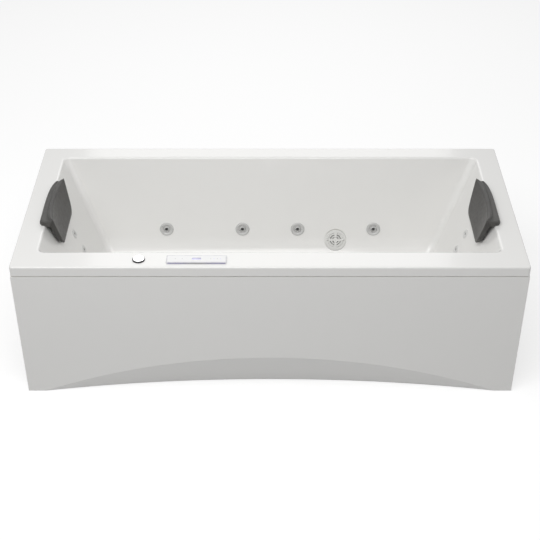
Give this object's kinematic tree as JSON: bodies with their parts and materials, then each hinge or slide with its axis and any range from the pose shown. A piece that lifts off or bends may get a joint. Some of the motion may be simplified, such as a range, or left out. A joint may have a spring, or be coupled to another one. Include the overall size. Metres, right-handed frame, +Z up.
{
  "type": "jetted bathtub",
  "caption": "Rectangular jetted bathtub with leaning walls, water jets, headrests, deck controls and a front panel with a toe recess, on a steel frame with a pump.",
  "frame": {"origin": "on the floor, at the centre of the footprint", "axes": "+X along the bath to the right, -Y towards the front panel, +Z up"},
  "size_m": [1.8, 0.8, 0.608],
  "materials": {
    "acrylic": "high gloss white acrylic",
    "board": "sealed particle board",
    "frame": "satin grey powder coat",
    "zinc": "bright zinc plated",
    "jet_trim": "glossy light grey",
    "nozzle": "glossy grey",
    "pvc": "moulded white pvc",
    "pvc_pipe": "extruded white pvc",
    "gasket": "matt black",
    "hose": "translucent pale hose",
    "chrome": "polished chrome",
    "waste_plastic": "moulded polypropylene",
    "keypad_trim": "satin silver",
    "keypad_face": "glossy pale grey film",
    "pillow": "soft dark grey polyurethane",
    "motor": "dark grey paint",
    "pump_plastic": "black glass filled plastic",
    "box_plastic": "light grey box",
    "gland": "black nylon",
    "foot_rubber": "black rubber"
  },
  "bodies": {
    "bath": {"tub_shell": "acrylic", "floor_board": "board", "frame_long_rails": "frame", "frame_cross_rails": "frame", "frame_posts": "frame", "frame_shelves": "frame", "foot_nuts": "zinc", "front_panel": "acrylic", "panel_brackets": "zinc", "jet_rings": "jet_trim", "jet_bodies": "pvc", "wall_gaskets": "gasket", "micro_jet_faces": "jet_trim", "micro_jet_bodies": "pvc", "suction_body": "pvc", "suction_cover": "jet_trim", "cover_screws": "zinc", "water_pipes": "pvc_pipe", "air_pipes": "pvc_pipe", "suction_pipes": "pvc_pipe", "pipe_fittings": "pvc", "air_hose": "hose", "drain_body": "chrome", "waste_trap": "waste_plastic", "overflow_pipes": "waste_plastic", "overflow_body": "waste_plastic", "air_valve_body": "pvc", "keypad_housing": "keypad_trim", "keypad_face": "keypad_face", "pump_motor": "motor", "pump_volute": "pump_plastic", "control_box": "box_plastic", "cable_gland": "gland"},
    "jet_nozzle_1": {"jet_nozzle_1": "nozzle"},
    "jet_nozzle_2": {"jet_nozzle_2": "nozzle"},
    "jet_nozzle_3": {"jet_nozzle_3": "nozzle"},
    "jet_nozzle_4": {"jet_nozzle_4": "nozzle"},
    "jet_nozzle_5": {"jet_nozzle_5": "nozzle"},
    "jet_nozzle_6": {"jet_nozzle_6": "nozzle"},
    "jet_nozzle_7": {"jet_nozzle_7": "nozzle"},
    "jet_nozzle_8": {"jet_nozzle_8": "nozzle"},
    "foot_pad_1": {"foot_pad_1": "foot_rubber"},
    "foot_stud_1": {"foot_stud_1": "zinc"},
    "foot_pad_2": {"foot_pad_2": "foot_rubber"},
    "foot_stud_2": {"foot_stud_2": "zinc"},
    "foot_pad_3": {"foot_pad_3": "foot_rubber"},
    "foot_stud_3": {"foot_stud_3": "zinc"},
    "foot_pad_4": {"foot_pad_4": "foot_rubber"},
    "foot_stud_4": {"foot_stud_4": "zinc"},
    "foot_pad_5": {"foot_pad_5": "foot_rubber"},
    "foot_stud_5": {"foot_stud_5": "zinc"},
    "foot_pad_6": {"foot_pad_6": "foot_rubber"},
    "foot_stud_6": {"foot_stud_6": "zinc"},
    "air_knob": {"air_knob": "chrome"},
    "overflow_knob": {"overflow_knob": "chrome"},
    "drain_plug": {"drain_plug": "chrome"},
    "pump_rotor": {"pump_rotor": "zinc"},
    "pillow_left": {"pillow_left": "pillow"},
    "pillow_right": {"pillow_right": "pillow"}
  },
  "joints": [
    {"name": "jet_1_tilt", "type": "hinge", "parent": "bath", "child": "jet_nozzle_1", "pos_m": [-0.42, 0.26812, 0.27396], "axis": [1, 0, 0], "range_deg": [-15, 15]},
    {"name": "jet_2_tilt", "type": "hinge", "parent": "bath", "child": "jet_nozzle_2", "pos_m": [-0.112, 0.26812, 0.27396], "axis": [1, 0, 0], "range_deg": [-15, 15]},
    {"name": "jet_3_tilt", "type": "hinge", "parent": "bath", "child": "jet_nozzle_3", "pos_m": [0.112, 0.26812, 0.27396], "axis": [1, 0, 0], "range_deg": [-15, 15]},
    {"name": "jet_4_tilt", "type": "hinge", "parent": "bath", "child": "jet_nozzle_4", "pos_m": [0.42, 0.26812, 0.27396], "axis": [1, 0, 0], "range_deg": [-15, 15]},
    {"name": "jet_5_tilt", "type": "hinge", "parent": "bath", "child": "jet_nozzle_5", "pos_m": [-0.42, -0.24912, 0.27396], "axis": [1, 0, 0], "range_deg": [-15, 15]},
    {"name": "jet_6_tilt", "type": "hinge", "parent": "bath", "child": "jet_nozzle_6", "pos_m": [-0.112, -0.24912, 0.27396], "axis": [1, 0, 0], "range_deg": [-15, 15]},
    {"name": "jet_7_tilt", "type": "hinge", "parent": "bath", "child": "jet_nozzle_7", "pos_m": [0.112, -0.24912, 0.27396], "axis": [1, 0, 0], "range_deg": [-15, 15]},
    {"name": "jet_8_tilt", "type": "hinge", "parent": "bath", "child": "jet_nozzle_8", "pos_m": [0.42, -0.24912, 0.27396], "axis": [1, 0, 0], "range_deg": [-15, 15]},
    {"name": "foot_1_height", "type": "slide", "parent": "bath", "child": "foot_pad_1", "axis": [0, 0, 1], "range_m": [-0.012, 0.015]},
    {"name": "foot_1_screw", "type": "hinge", "parent": "foot_pad_1", "child": "foot_stud_1", "pos_m": [-0.68, -0.3, 0.012], "axis": [0, 0, 1], "continuous": true},
    {"name": "foot_2_height", "type": "slide", "parent": "bath", "child": "foot_pad_2", "axis": [0, 0, 1], "range_m": [-0.012, 0.015]},
    {"name": "foot_2_screw", "type": "hinge", "parent": "foot_pad_2", "child": "foot_stud_2", "pos_m": [0.12, -0.3, 0.012], "axis": [0, 0, 1], "continuous": true},
    {"name": "foot_3_height", "type": "slide", "parent": "bath", "child": "foot_pad_3", "axis": [0, 0, 1], "range_m": [-0.012, 0.015]},
    {"name": "foot_3_screw", "type": "hinge", "parent": "foot_pad_3", "child": "foot_stud_3", "pos_m": [0.68, -0.3, 0.012], "axis": [0, 0, 1], "continuous": true},
    {"name": "foot_4_height", "type": "slide", "parent": "bath", "child": "foot_pad_4", "axis": [0, 0, 1], "range_m": [-0.012, 0.015]},
    {"name": "foot_4_screw", "type": "hinge", "parent": "foot_pad_4", "child": "foot_stud_4", "pos_m": [-0.68, 0.3, 0.012], "axis": [0, 0, 1], "continuous": true},
    {"name": "foot_5_height", "type": "slide", "parent": "bath", "child": "foot_pad_5", "axis": [0, 0, 1], "range_m": [-0.012, 0.015]},
    {"name": "foot_5_screw", "type": "hinge", "parent": "foot_pad_5", "child": "foot_stud_5", "pos_m": [0.12, 0.3, 0.012], "axis": [0, 0, 1], "continuous": true},
    {"name": "foot_6_height", "type": "slide", "parent": "bath", "child": "foot_pad_6", "axis": [0, 0, 1], "range_m": [-0.012, 0.015]},
    {"name": "foot_6_screw", "type": "hinge", "parent": "foot_pad_6", "child": "foot_stud_6", "pos_m": [0.68, 0.3, 0.012], "axis": [0, 0, 1], "continuous": true},
    {"name": "air_knob_turn", "type": "hinge", "parent": "bath", "child": "air_knob", "pos_m": [-0.456, -0.3544, 0.575], "axis": [0, 0, 1], "range_deg": [-180, 0]},
    {"name": "overflow_knob_turn", "type": "hinge", "parent": "bath", "child": "overflow_knob", "pos_m": [0, -0.28993, 0.49], "axis": [0, 0.9781, 0.2079], "range_deg": [0, 120]},
    {"name": "drain_plug_lift", "type": "slide", "parent": "bath", "child": "drain_plug", "axis": [0, 0, 1], "range_m": [0, 0.01]},
    {"name": "pump_rotor_spin", "type": "hinge", "parent": "bath", "child": "pump_rotor", "pos_m": [0.77051, 0.07, 0.115], "axis": [0, 1, 0], "continuous": true},
    {"name": "pillow_left_lift", "type": "slide", "parent": "bath", "child": "pillow_left", "axis": [0, 0, 1], "range_m": [0, 0.15]},
    {"name": "pillow_right_lift", "type": "slide", "parent": "bath", "child": "pillow_right", "axis": [0, 0, 1], "range_m": [0, 0.15]}
  ],
  "couplings": [
    {"joint": "foot_1_screw", "follows": "foot_1_height", "rad_per_m": 4188.8},
    {"joint": "foot_2_screw", "follows": "foot_2_height", "rad_per_m": 4188.8},
    {"joint": "foot_3_screw", "follows": "foot_3_height", "rad_per_m": 4188.8},
    {"joint": "foot_4_screw", "follows": "foot_4_height", "rad_per_m": 4188.8},
    {"joint": "foot_5_screw", "follows": "foot_5_height", "rad_per_m": 4188.8},
    {"joint": "foot_6_screw", "follows": "foot_6_height", "rad_per_m": 4188.8},
    {"joint": "drain_plug_lift", "follows": "overflow_knob_turn", "m_per_rad": 0.00477}
  ]
}
